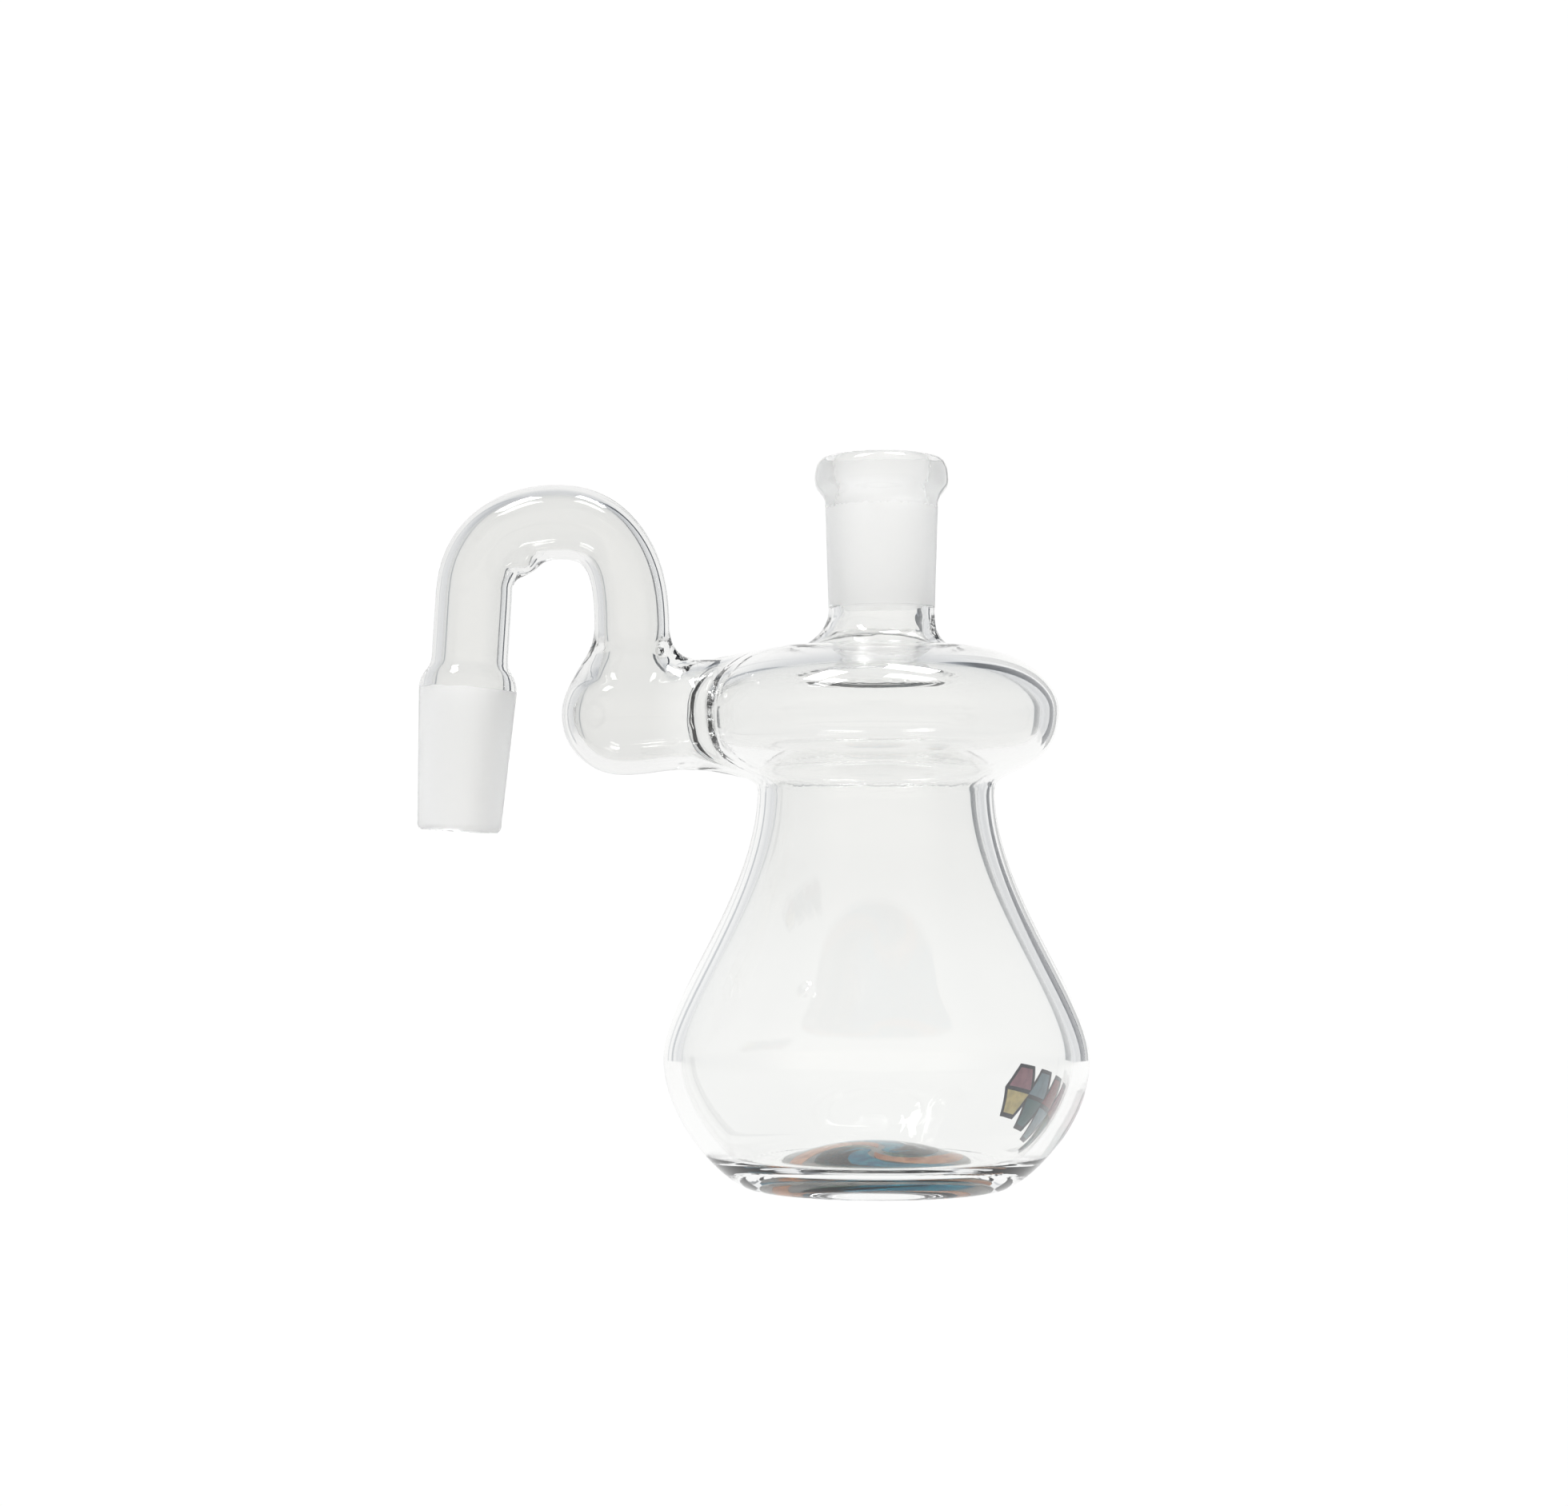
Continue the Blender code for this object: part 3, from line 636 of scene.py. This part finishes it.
def glass_material(sizes, look):
    """Clear glass with ground joints, the marks that flame working leaves at the welds, and painted shade:
    darker tones of the same glass above the belly and in the arm.
    """
    made, tree, shader = shader_tree("Borosilicate Glass")
    n = Nodes(tree)
    place = n.add("ShaderNodeTexCoord").outputs["Object"]
    axes = n.add("ShaderNodeSeparateXYZ", {0: place}).outputs
    x, y, z = axes[0], axes[1], axes[2]
    square = n.math("ADD", n.math("MULTIPLY", x, x), n.math("MULTIPLY", y, y))
    radius = n.math("SQRT", square)
    from_socket = n.math("SUBTRACT", x, SOCKET_X * MM)
    socket_radius = n.math("ADD", n.math("MULTIPLY", from_socket, from_socket), n.math("MULTIPLY", y, y))
    socket_radius = n.math("SQRT", socket_radius)

    bore = sizes.joint_diameter / 2 - (MOUTH_Z - SOCKET_Z) * MM / 20
    wobble = n.add("ShaderNodeTexNoise", {"Vector": place, "Scale": 260.0, "Detail": 1.0}).outputs[0]
    uneven = n.math("MULTIPLY_ADD", wobble, 0.0006, -0.0003)
    socket_z = n.math("ADD", z, uneven)
    in_bore = n.ramp(socket_radius, bore + 0.0011, bore + 0.0013, 1.0, 0.0)
    in_socket = n.within(socket_z, (SOCKET_Z + 0.2) * MM, (MOUTH_Z - 1.6) * MM, 0.00012)
    on_shank = n.ramp(z, (MOUTH_Z - 8.2) * MM, (MOUTH_Z - 5.8) * MM, 0.5, 0.0)
    on_shank = n.math("MULTIPLY", on_shank, n.ramp(socket_radius, 0.011, 0.013, 1.0, 0.0))
    ground_bore = n.math("MULTIPLY", n.math("MAXIMUM", in_bore, on_shank), in_socket)

    arm = Arm(sizes)
    above = n.math(
        "SUBTRACT",
        n.math("MULTIPLY", n.math("SUBTRACT", z, arm.tip[1] * MM), math.cos(Arm.LEAN)),
        n.math("MULTIPLY", n.math("SUBTRACT", x, arm.tip[0] * MM), -math.sin(Arm.LEAN)),
    )
    side = n.math(
        "SUBTRACT",
        n.math("MULTIPLY", n.math("SUBTRACT", x, arm.tip[0] * MM), math.cos(Arm.LEAN)),
        n.math("MULTIPLY", n.math("SUBTRACT", z, arm.tip[1] * MM), math.sin(Arm.LEAN)),
    )
    from_leg = n.math("SQRT", n.math("ADD", n.math("MULTIPLY", side, side), n.math("MULTIPLY", y, y)))
    on_cone = n.math("MULTIPLY", n.ramp(from_leg, 0.0053, 0.0056), n.ramp(from_leg, 0.0085, 0.009, 1.0, 0.0))
    low_on_leg = n.ramp(n.math("ADD", above, uneven), 0.0211, 0.0213, 1.0, 0.0)
    ground_cone = n.math("MULTIPLY", on_cone, low_on_leg)
    ground = n.math("MAXIMUM", ground_bore, ground_cone)

    speckle = n.add("ShaderNodeTexNoise", {"Vector": place, "Scale": 1500.0, "Detail": 3.0}).outputs[0]
    uneven_ground = n.ramp(speckle, 0.3, 0.7, look.ground_roughness - 0.06, look.ground_roughness + 0.06)
    tree.links.new(n.math("MULTIPLY", ground, uneven_ground), shader.inputs["Roughness"])
    tree.links.new(n.ramp(ground, 0.0, 1.0, 1.0, 0.80), shader.inputs["Transmission Weight"])

    flow = n.add("ShaderNodeTexNoise", {"Vector": place, "Scale": 190.0, "Detail": 2.0}).outputs[0]
    shoulder = n.within(z, *SHOULDER_WELD, 0.0015)
    neck_weld = n.within(z, *NECK_WELD, 0.0010)
    port_weld = n.math("MULTIPLY", n.within(x, *PORT_WELD, 0.0012), n.ramp(z, 0.060, 0.062))
    shoulder = n.math("MULTIPLY", shoulder, n.ramp(radius, 0.006, 0.018, 1.0, 0.0))
    neck_weld = n.math("MULTIPLY", neck_weld, 0.5)
    welds = n.math("MAXIMUM", n.math("MAXIMUM", shoulder, neck_weld), port_weld)
    from_seed = n.add("ShaderNodeVectorMath", {0: place, 1: SEED}, operation="DISTANCE").outputs["Value"]
    seed = n.ramp(from_seed, 0.0, 0.0016, 1.6, 0.0)
    height = n.math("ADD", n.math("MULTIPLY", n.math("SUBTRACT", flow, 0.5), welds), seed)
    grit = n.math("MULTIPLY", n.math("MULTIPLY", speckle, ground), 0.05)
    height = n.math("ADD", height, grit)
    bump = n.add("ShaderNodeBump", {"Height": height, "Strength": 0.35, "Distance": 0.0012})
    tree.links.new(bump.outputs[0], shader.inputs["Normal"])

    # Painted shade: the same glass gets a darker tone in the arm, for the tube's greyer shading.
    arm_shade_mask = n.ramp(x, -0.034, -0.028, 1.0, 0.0)
    # Painted shade: the glass darkens from 30 to 50 mm up, for the greyer shading of the upper pear, neck and
    # disc.
    chambers = n.blend(n.ramp(z, 0.030, 0.050), look.tint, look.upper_painted_shade)
    clear = n.blend(arm_shade_mask, chambers, look.arm_painted_shade)
    tree.links.new(n.blend(ground, clear, look.ground_tint), shader.inputs["Base Color"])
    shader.inputs["IOR"].default_value = look.ior
    return made


# ---------------------------------------------------------------- pieces


def new_object(name, points, faces, normals=None):
    mesh = bpy.data.meshes.new(name)
    mesh.from_pydata((points * MM).tolist(), [], faces.tolist())
    mesh.update()
    mesh.shade_smooth()
    if normals is not None:
        unit = normals / np.linalg.norm(normals, axis=1)[:, None]
        mesh.normals_split_custom_set_from_vertices(unit.tolist())
    made = bpy.data.objects.new(name, mesh)
    bpy.context.scene.collection.objects.link(made)
    return made


class MESH_OT_fused_glass(bpy.types.Operator):
    """Fuses the glass sections into one hollow glass with rounded welds"""

    bl_idname = "dry_catcher.fused_glass"
    bl_label = "Fused Glass"

    # The grid's corners. The small offset keeps its planes off the glass's flat faces.
    LOW = np.array((-71.0, -34.0, -2.0)) + 0.013
    HIGH = (34.0, 34.0, MOUTH_Z + 2)

    def execute(self, context):
        sizes = context.scene.catcher_sizes
        field = FusedGlass(sizes)
        step = sizes.grid_step / MM * 1.0
        points, faces, slope = surface_net(field, self.LOW, self.HIGH, step)
        points[:, 2] = np.maximum(points[:, 2], 0.0)
        made = new_object("fused_glass", points, faces, slope)
        made.data.materials.append(glass_material(sizes, context.scene.catcher_finish))
        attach(made, "root")
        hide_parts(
            "ground_socket", "socket_stub", "disc_chamber", "pear_chamber", "foot_puck",
            "port_collar", "elbow_bulb", "gooseneck_tube", "cone_stub", "ground_cone",
        )
        return {"FINISHED"}


def ribbon_tree():
    """A node tree that lays swirled ribbons of glass in a ring, as a wig-wag reversal has."""
    tree = bpy.data.node_groups.new("Swirl Ribbons", "GeometryNodeTree")
    face = tree.interface
    sockets = (
        ("Count", "NodeSocketInt", 6), ("Start", "NodeSocketFloat", 0.0), ("Turn", "NodeSocketFloat", 1.2),
        ("Width", "NodeSocketFloat", 0.4), ("Inner Radius", "NodeSocketFloat", 0.001),
        ("Outer Radius", "NodeSocketFloat", 0.01), ("Base", "NodeSocketFloat", 0.0007),
        ("Thickness", "NodeSocketFloat", 0.0004), ("Glass", "NodeSocketMaterial", None),
    )
    for name, kind, value in sockets:
        socket = face.new_socket(name, in_out="INPUT", socket_type=kind)
        if value is not None:
            socket.default_value = value
    face.new_socket("Geometry", in_out="OUTPUT", socket_type="NodeSocketGeometry")
    n = Nodes(tree)
    given = n.add("NodeGroupInput").outputs
    strip = n.add("GeometryNodeMeshGrid", {0: 1.0, 1: 1.0, 2: 28, 3: 5}).outputs[0]
    at = n.add("ShaderNodeSeparateXYZ", {0: n.add("GeometryNodeInputPosition").outputs[0]}).outputs
    along = n.math("ADD", at[0], 0.5)
    reach = n.math("SUBTRACT", given["Outer Radius"], given["Inner Radius"])
    radius = n.math("MULTIPLY_ADD", along, reach, given["Inner Radius"])
    taper = n.math("SINE", n.math("MULTIPLY", n.math("POWER", along, 0.7), math.pi * 0.92))
    across = n.math("MULTIPLY", n.math("MULTIPLY", at[1], given["Width"]), n.math("ADD", taper, 0.15))
    angle = n.math("ADD", n.math("MULTIPLY_ADD", along, given["Turn"], across), given["Start"])
    swirled = n.add("ShaderNodeCombineXYZ", {
        0: n.math("MULTIPLY", radius, n.math("COSINE", angle)),
        1: n.math("MULTIPLY", radius, n.math("SINE", angle)),
        2: given["Base"],
    }).outputs[0]
    ribbon = n.add("GeometryNodeSetPosition", {"Geometry": strip, "Position": swirled}).outputs[0]
    points = n.add("GeometryNodePoints", {"Count": given["Count"]}).outputs[0]
    step = n.math("DIVIDE", math.tau, given["Count"])
    turn = n.math("MULTIPLY", n.add("GeometryNodeInputIndex").outputs[0], step)
    spin = n.add("ShaderNodeCombineXYZ", {2: turn}).outputs[0]
    laid = n.add("GeometryNodeInstanceOnPoints", {"Points": points, "Instance": ribbon, "Rotation": spin})
    real = n.add("GeometryNodeRealizeInstances", {0: laid.outputs[0]}).outputs[0]
    raised = n.add("GeometryNodeExtrudeMesh", {
        "Mesh": real, "Offset": (0.0, 0.0, 1.0), "Offset Scale": given["Thickness"], "Individual": False,
    }).outputs[0]
    under = n.add("GeometryNodeFlipFaces", {0: real}).outputs[0]
    both = n.add("GeometryNodeJoinGeometry")
    tree.links.new(raised, both.inputs[0])
    tree.links.new(under, both.inputs[0])
    closed = n.add("GeometryNodeMergeByDistance", {"Geometry": both.outputs[0], "Distance": 1e-6}).outputs[0]
    real = n.add("GeometryNodeRealizeInstances", {0: closed}).outputs[0]
    done = n.add("GeometryNodeSetMaterial", {"Geometry": real, "Material": given["Glass"]}).outputs[0]
    tree.links.new(done, n.add("NodeGroupOutput").inputs[0])
    return tree


def grown(tree, name, values):
    """The plain mesh that a geometry node tree makes from its named inputs."""
    seed = bpy.data.objects.new(name, bpy.data.meshes.new(name))
    bpy.context.scene.collection.objects.link(seed)
    modifier = seed.modifiers.new("nodes", "NODES")
    modifier.node_group = tree
    names = {s.name: s.identifier for s in tree.interface.items_tree if s.in_out == "INPUT"}
    for key, value in values.items():
        modifier[names[key]] = value
    seed.update_tag()
    graph = bpy.context.evaluated_depsgraph_get()
    mesh = bpy.data.meshes.new_from_object(seed.evaluated_get(graph), depsgraph=graph)
    bpy.data.objects.remove(seed, do_unlink=True)
    return mesh


def joined_object(name, meshes):
    """One object from several meshes, each keeping its own material."""
    builder = bmesh.new()
    materials = []
    for mesh in meshes:
        first = len(materials)
        materials.extend(mesh.materials)
        before = len(builder.faces)
        builder.from_mesh(mesh)
        builder.faces.ensure_lookup_table()
        for face in builder.faces[before:]:
            face.material_index += first
    whole = bpy.data.meshes.new(name)
    builder.to_mesh(whole)
    builder.free()
    for finish in materials:
        whole.materials.append(finish)
    made = bpy.data.objects.new(name, whole)
    bpy.context.scene.collection.objects.link(made)
    return made


def coloured_glass(name, deep, pale, scale):
    """Opaque coloured glass with soft streaks of a paler shade."""
    made, tree, shader = shader_tree(name)
    n = Nodes(tree)
    place = n.add("ShaderNodeTexCoord").outputs["Object"]
    streak = n.add("ShaderNodeTexNoise", {"Vector": place, "Scale": scale, "Detail": 3.0, "Distortion": 1.5})
    factor = n.ramp(streak.outputs[0], 0.35, 0.70)
    tree.links.new(n.blend(factor, deep, pale), shader.inputs["Base Color"])
    grain = n.add("ShaderNodeTexNoise", {"Vector": place, "Scale": scale * 6, "Detail": 2.0}).outputs[0]
    tree.links.new(n.ramp(grain, 0.3, 0.7, 0.12, 0.22), shader.inputs["Roughness"])
    return made


def disc_mesh(name, radius, low, high, finish, sides=96):
    builder = bmesh.new()
    bmesh.ops.create_cone(
        builder, cap_ends=True, segments=sides, radius1=radius, radius2=radius * 0.985, depth=high - low,
        matrix=Matrix.Translation((0, 0, (low + high) / 2)),
    )
    mesh = bpy.data.meshes.new(name)
    builder.to_mesh(mesh)
    builder.free()
    mesh.materials.append(finish)
    return mesh


class MESH_OT_foot_medallion(bpy.types.Operator):
    """Lays swirled ribbons of coloured glass on a disc, in the underside of the foot"""

    bl_idname = "dry_catcher.foot_medallion"
    bl_label = "Foot Medallion"

    def execute(self, context):
        low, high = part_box("foot_medallion")
        radius, top = high.x, high.z
        tree = ribbon_tree()
        grey = coloured_glass("Smoke Glass", (0.26, 0.26, 0.25), (0.46, 0.45, 0.42), 220.0)
        ribbons = (
            ("Teal Glass", (0.01, 0.14, 0.26), (0.03, 0.36, 0.48), 0.0, 1.6, 0.15, 1.0),
            ("Copper Glass", (0.48, 0.17, 0.07), (0.74, 0.38, 0.21), 1.1, 0.55, 0.22, 0.97),
            ("Olive Glass", (0.05, 0.13, 0.10), (0.14, 0.27, 0.20), 1.75, 0.5, 0.30, 0.9),
            ("Pale Glass", (0.45, 0.46, 0.43), (0.7, 0.7, 0.66), 2.3, 0.35, 0.35, 0.99),
        )
        meshes = [disc_mesh("ground", radius, low.z + 0.05 * MM, top - 0.35 * MM, grey)]
        for name, deep, pale, start, width, inner, outer in ribbons:
            meshes.append(grown(tree, name, {
                "Count": 2, "Start": 1.3 * start, "Turn": 2.2, "Width": 1.3 * width,
                "Inner Radius": radius * inner * 0.35, "Outer Radius": radius * outer,
                "Base": top - 0.45 * MM, "Thickness": 0.4 * MM,
                "Glass": coloured_glass(name, deep, pale, 260.0),
            }))
        made = joined_object("foot_medallion", meshes)
        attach(made, "root")
        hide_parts("foot_medallion")
        return {"FINISHED"}


def ink(name, shade):
    """Printed enamel with a slight unevenness in its colour and gloss."""
    made, tree, shader = shader_tree(name)
    n = Nodes(tree)
    place = n.add("ShaderNodeTexCoord").outputs["Object"]
    mottle = n.add("ShaderNodeTexNoise", {"Vector": place, "Scale": 900.0, "Detail": 2.0}).outputs[0]
    worn = tuple(min(1.0, part * 1.25 + 0.02) for part in shade)
    tree.links.new(n.blend(n.ramp(mottle, 0.3, 0.7), shade, worn), shader.inputs["Base Color"])
    tree.links.new(n.ramp(mottle, 0.3, 0.7, 0.3, 0.42), shader.inputs["Roughness"])
    return made


def hexagon(middle, half):
    """A flat outline in the badge's own plane, around the pear and up it."""
    points = []
    for corner in range(6):
        angle = math.tau * corner / 6
        points.append((middle[0] + half[0] * math.cos(angle), middle[1] + half[1] * math.sin(angle)))
    return points


class MESH_OT_printed_badge(bpy.types.Operator):
    """Prints a plain row of coloured hexagons on the back right of the pear"""

    bl_idname = "dry_catcher.printed_badge"
    bl_label = "Printed Badge"

    TILT = math.radians(6.0)
    START = math.radians(40.0)
    MIDDLE_Z = 12.1
    BEND = 29.0  # the radius that the badge is bent to
    PITCH = 6.0  # from one hexagon to the next
    INKS = {
        "Navy Ink": (0.006, 0.009, 0.028), "Rose Ink": (0.36, 0.16, 0.21), "Straw Ink": (0.70, 0.58, 0.27),
        "Slate Ink": (0.20, 0.30, 0.36), "Red Ink": (0.22, 0.03, 0.04), "Teal Ink": (0.02, 0.11, 0.12),
    }
    ROW = (
        ("Rose Ink", "Straw Ink"), ("Slate Ink", "Teal Ink"),
        ("Red Ink", "Slate Ink"), ("Rose Ink", "Teal Ink"),
    )

    def execute(self, context):
        vessel = Vessel(context.scene.catcher_sizes)
        side = vessel.chambers[vessel.chambers[:, 1] < vessel.BELLY_Z + 5]
        heights, radii = side[::-1, 1], side[::-1, 0]
        skin = (heights, radii, np.gradient(radii, heights))
        flat = []
        for i, (upper, lower) in enumerate(self.ROW):
            middle = (2.4 + self.PITCH * i, -0.6 * i)
            tall = 5.4 + 0.5 * i
            flat.append((hexagon(middle, (3.8, tall)), "Navy Ink", 0.0))
            above = hexagon((middle[0], middle[1] + 0.35), (2.95, tall - 1.2))
            below = hexagon((middle[0], middle[1] - 0.35), (2.95, tall - 1.2))
            flat.append((above[:4], upper, 0.03))
            flat.append(([*below[3:], below[0]], lower, 0.03))
        meshes = []
        for name, shade in self.INKS.items():
            finish = ink(name, shade)
            builder = bmesh.new()
            for outline, used, lift in flat:
                if used == name:
                    self.tile(builder, outline, lift, skin)
            mesh = bpy.data.meshes.new(name)
            builder.to_mesh(mesh)
            builder.free()
            mesh.materials.append(finish)
            meshes.append(mesh)
        made = joined_object("printed_badge", meshes)
        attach(made, "root")
        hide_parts("printed_badge")
        return {"FINISHED"}

    def tile(self, builder, outline, lift, skin):
        """One closed tile of ink that lies on the pear's skin."""
        depths = (-0.05 - lift, 0.05 + lift)
        rings = []
        centre = np.mean(outline, axis=0)
        for depth in depths:
            shells = [[self.on_skin(centre, depth, skin)]]
            for share in (0.35, 0.7, 1.0):
                ring = []
                count = len(outline)
                for i in range(count * 6):
                    a, b = np.array(outline[i // 6]), np.array(outline[(i // 6 + 1) % count])
                    point = centre + share * (a + (b - a) * (i % 6) / 6 - centre)
                    ring.append(self.on_skin(point, depth, skin))
                shells.append(ring)
            rings.append([[builder.verts.new(p) for p in shell] for shell in shells])
        for shells, flip in zip(rings, (True, False)):
            middle = shells[0][0]
            size = len(shells[1])
            for i in range(size):
                j = (i + 1) % size
                faces = [(middle, shells[1][i], shells[1][j])]
                faces += [(shells[k][i], shells[k + 1][i], shells[k + 1][j], shells[k][j]) for k in (1, 2)]
                for face in faces:
                    builder.faces.new(face[::-1] if flip else face)
        inner, outer = rings[0][-1], rings[1][-1]
        for i in range(len(inner)):
            j = (i + 1) % len(inner)
            builder.faces.new((inner[i], inner[j], outer[j], outer[i]))

    def on_skin(self, point, depth, skin):
        """A point of the badge's plane laid on the pear, with a depth above its skin."""
        heights, radii, slopes = skin
        along = point[0] * math.cos(self.TILT) + point[1] * math.sin(self.TILT)
        up = point[1] * math.cos(self.TILT) - point[0] * math.sin(self.TILT)
        height = self.MIDDLE_Z + up
        radius = np.interp(height, heights, radii)
        slope = np.interp(height, heights, slopes)
        out = 1.0 / math.hypot(1.0, slope)
        angle = self.START - along / self.BEND
        reach = radius + depth * out
        z = height - depth * slope * out
        return Vector((reach * math.cos(angle), reach * math.sin(angle), z)) * MM


# ---------------------------------------------------------------- stage


# Dark flags beside the backdrop: both edges and their softness in degrees, and how dark each one is.
FLAGS = (((21.5, 31.0, 0.7), 0.95), ((-28.5, -25.0, 0.8), 0.5))

# Softboxes overhead: place in metres and power in watts.
SOFTBOXES = (("Left Softbox", (-0.26, -0.15, 0.68), 4.5), ("Right Softbox", (0.16, -0.05, 0.74), 4.5))
SOFTBOX_SIZE = (0.12, 0.24)
AIM = (-0.014, 0.0, 0.055)

CAMERA_PLACE = (-0.01366, -0.433, 0.0466)
CAMERA_PITCH = 2.32
FLOOR_LOW = -0.0002


def studio_world(look):
    """A white studio: light behind, greyer at the sides, with two upright dark flags."""
    world = bpy.data.worlds.new("Soft Studio")
    world.use_nodes = True
    tree = world.node_tree
    n = Nodes(tree)
    axes = n.add("ShaderNodeSeparateXYZ", {0: n.add("ShaderNodeTexCoord").outputs["Generated"]}).outputs
    degrees = 180 / math.pi
    azimuth = n.math("MULTIPLY", n.math("ARCTAN2", axes[0], axes[1]), degrees)
    elevation = n.math("MULTIPLY", n.math("ARCSINE", axes[2]), degrees)
    away = n.math("ABSOLUTE", azimuth)
    wall = n.ramp(away, 17.0, 45.0, 1.02, look.side_light)
    wall = n.math("MULTIPLY", wall, n.ramp(away, 100.0, 145.0, 1.0, look.front_light))
    ceiling = n.ramp(elevation, 20.0, 50.0, 1.0, look.ceiling_light)
    light = n.math("MULTIPLY", wall, ceiling)
    for edges, depth in FLAGS:
        across = n.within(azimuth, *edges)
        tall = n.ramp(elevation, 40.0, 60.0, 1.0, 0.0)
        dark = n.math("MULTIPLY", n.math("MULTIPLY", across, tall), depth)
        light = n.math("MULTIPLY", light, n.math("SUBTRACT", 1.0, dark))
    background = tree.nodes["Background"]
    cool = n.math("POWER", light, 0.86)
    shade = n.add("ShaderNodeCombineColor", {0: light, 1: n.math("POWER", light, 0.94), 2: cool}).outputs[0]
    tree.links.new(shade, background.inputs["Color"])
    background.inputs["Strength"].default_value = 1.0
    bpy.context.scene.world = world


def soft_light(name, place, power):
    data = bpy.data.lights.new(name, "AREA")
    data.shape = "RECTANGLE"
    data.size, data.size_y = SOFTBOX_SIZE
    data.energy = power
    made = bpy.data.objects.new(name, data)
    made.location = place
    made.rotation_euler = (Vector(AIM) - Vector(place)).to_track_quat("-Z", "Y").to_euler()
    made.visible_camera = False
    bpy.context.scene.collection.objects.link(made)


def pale_floor(look):
    """A glowing white floor that ends behind the object and is a little darker at its sides."""
    builder = bmesh.new()
    bmesh.ops.create_grid(builder, x_segments=1, y_segments=1, size=1.0)
    for vertex in builder.verts:
        far = vertex.co.y > 0
        vertex.co = (vertex.co.x * 0.9, look.floor_reach if far else -0.9, FLOOR_LOW)
    mesh = bpy.data.meshes.new("floor")
    builder.to_mesh(mesh)
    builder.free()
    floor = bpy.data.objects.new("floor", mesh)
    bpy.context.scene.collection.objects.link(floor)
    made, tree, shader = shader_tree("Pale Floor")
    shader.inputs["Base Color"].default_value = (0.0, 0.0, 0.0, 1.0)
    shader.inputs["Roughness"].default_value = 1.0
    shader.inputs["Specular IOR Level"].default_value = 0.0
    shader.inputs["Emission Color"].default_value = (*look.floor_colour, 1.0)
    n = Nodes(tree)
    place = n.add("ShaderNodeTexCoord").outputs["Object"]
    axes = n.add("ShaderNodeSeparateXYZ", {0: place}).outputs
    aside = n.math("SUBTRACT", n.math("ABSOLUTE", axes[0]), n.math("MULTIPLY", axes[1], 0.30))
    glow = n.ramp(aside, 0.128, 0.25, look.floor_glow, look.floor_glow * look.floor_edge)
    tree.links.new(glow, shader.inputs["Emission Strength"])
    mesh.materials.append(made)


def front_camera(look):
    data = bpy.data.cameras.new("Camera")
    data.lens = look.lens
    data.sensor_width = 36.0
    data.clip_start, data.clip_end = 0.01, 20.0
    camera = bpy.data.objects.new("Camera", data)
    camera.location = CAMERA_PLACE
    camera.rotation_euler = (math.radians(90 + CAMERA_PITCH), 0.0, 0.0)
    bpy.context.scene.collection.objects.link(camera)
    bpy.context.scene.camera = camera


class SCENE_OT_studio(bpy.types.Operator):
    """Makes the pale floor, the soft studio light and the camera"""

    bl_idname = "dry_catcher.studio"
    bl_label = "Studio"

    def execute(self, context):
        look = context.scene.catcher_studio
        pale_floor(look)
        studio_world(look)
        for name, place, power in SOFTBOXES:
            soft_light(name, place, power)
        front_camera(look)
        scene = context.scene
        scene.view_settings.view_transform = "Standard"
        scene.cycles.max_bounces = 24
        scene.cycles.transmission_bounces = 24
        scene.cycles.glossy_bounces = 12
        return {"FINISHED"}


class VIEW3D_PT_dry_catcher(bpy.types.Panel):
    """Lists the pieces of the dry catcher"""

    bl_label = "Dry Catcher"
    bl_idname = "VIEW3D_PT_dry_catcher"
    bl_space_type = "VIEW_3D"
    bl_region_type = "UI"
    bl_category = "Dry Catcher"

    def draw(self, context):
        for group in ("catcher_sizes", "catcher_finish", "catcher_studio"):
            held = getattr(context.scene, group)
            for name in held.__annotations__:
                self.layout.prop(held, name)
        for operator in OPERATORS:
            self.layout.operator(operator.bl_idname)


OPERATORS = (MESH_OT_fused_glass, MESH_OT_foot_medallion, MESH_OT_printed_badge, SCENE_OT_studio)
GROUPS = {"catcher_sizes": GlassSizes, "catcher_finish": GlassFinish, "catcher_studio": StudioLook}


def register():
    for item in (*GROUPS.values(), *OPERATORS, VIEW3D_PT_dry_catcher):
        bpy.utils.register_class(item)
    for name, group in GROUPS.items():
        setattr(bpy.types.Scene, name, bpy.props.PointerProperty(type=group))


def unregister():
    for name in GROUPS:
        delattr(bpy.types.Scene, name)
    for item in (VIEW3D_PT_dry_catcher, *reversed(OPERATORS), *reversed(tuple(GROUPS.values()))):
        bpy.utils.unregister_class(item)


def main():
    register()
    for operator in OPERATORS:
        family, name = operator.bl_idname.split(".")
        getattr(getattr(bpy.ops, family), name)()


if __name__ == "__main__":
    main()
